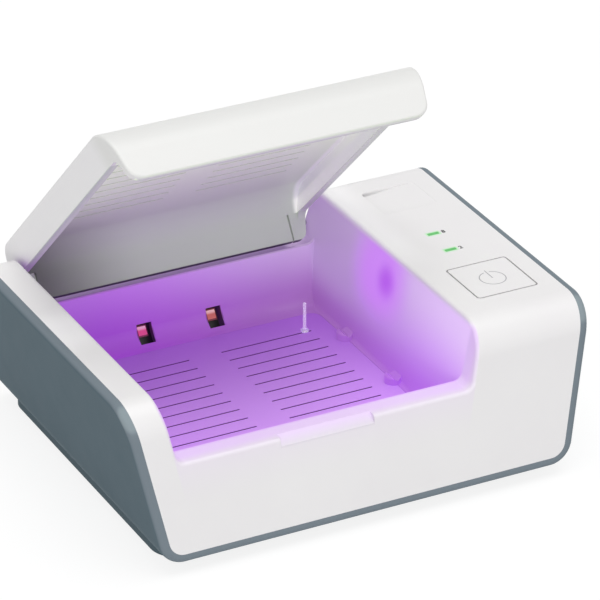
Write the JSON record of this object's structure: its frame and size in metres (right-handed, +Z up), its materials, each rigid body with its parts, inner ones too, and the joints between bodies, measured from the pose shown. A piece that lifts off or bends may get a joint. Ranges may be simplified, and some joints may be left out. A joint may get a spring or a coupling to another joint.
{
  "type": "hearing aid dryer",
  "caption": "Low desktop box with a hinged lid over a slotted warm-air chamber, ultraviolet lamps, and a side panel with a square power button, status bars and a battery tray.",
  "frame": {"origin": "on the resting plane, under the middle of the outer shell's box", "axes": "+X to the right towards the control panel, +Y from the front to the hinge side, +Z up"},
  "size_m": [0.1208, 0.0963, 0.0954],
  "materials": {
    "white_plastic": "satin moulded",
    "lid_plastic": "satin moulded",
    "liner_plastic": "satin moulded",
    "grey_plastic": "fine matte texture",
    "base_plastic": "fine matte texture",
    "floor_plastic": "satin moulded",
    "clear_plastic": "clear",
    "foot_rubber": "matte",
    "screw_steel": "zinc plated",
    "pin_steel": "ground",
    "inlet_steel": "drawn",
    "black_plastic": "moulded",
    "green_board": "solder mask",
    "black_board": "solder mask",
    "green_light": "clear, lit green",
    "lamp_package": "moulded ceramic",
    "bronze": "sintered",
    "copper": "enamelled wire",
    "heater_metal": "plain",
    "magnet_metal": "nickel plated",
    "cable_jacket": "matte"
  },
  "bodies": {
    "housing": {"outer_shell": "grey_plastic", "top_cover": "white_plastic", "floor_grille": "floor_plastic", "tube_peg": "clear_plastic", "base_cover": "base_plastic", "rubber_feet": "foot_rubber", "base_screws": "screw_steel", "button_switch": "black_plastic", "control_board": "green_board", "board_screws": "screw_steel", "light_bars": "green_light", "status_leds": "green_light", "lid_sensor": "black_plastic", "uv_led_board": "black_board", "uv_leds": "lamp_package", "uv_board_screws": "screw_steel", "power_socket": "inlet_steel", "power_board": "green_board", "regulator": "black_plastic", "fan_frame": "black_plastic", "fan_bearing": "bronze", "fan_stator": "copper", "fan_screws": "screw_steel", "heater_strip": "heater_metal", "thermal_cutoff": "heater_metal", "fan_cable": "cable_jacket", "uv_cable": "cable_jacket", "power_cable": "cable_jacket"},
    "lid": {"lid_cover": "lid_plastic", "lid_liner": "liner_plastic", "lid_magnet": "magnet_metal", "hinge_pin_left": "pin_steel", "hinge_pin_right": "pin_steel"},
    "power_button": {"button_cap": "white_plastic", "switch_plunger": "black_plastic"},
    "fan_rotor": {"fan_impeller": "black_plastic", "fan_shaft": "pin_steel"}
  },
  "joints": [
    {"name": "lid_hinge", "type": "hinge", "parent": "housing", "child": "lid", "pos_m": [-0.0102, 0.04161, 0.0317], "axis": [-1, 0, 0], "range_deg": [-44.1, 10.9]},
    {"name": "button_press", "type": "slide", "parent": "housing", "child": "power_button", "axis": [0, 0, -1], "range_m": [0, 0.0005], "stiffness_N_per_m": 1500, "springref_m": -0.0006},
    {"name": "fan_spin", "type": "hinge", "parent": "housing", "child": "fan_rotor", "pos_m": [-0.0102, 0.00068, 0.0076], "axis": [0, 0, 1], "continuous": true}
  ]
}
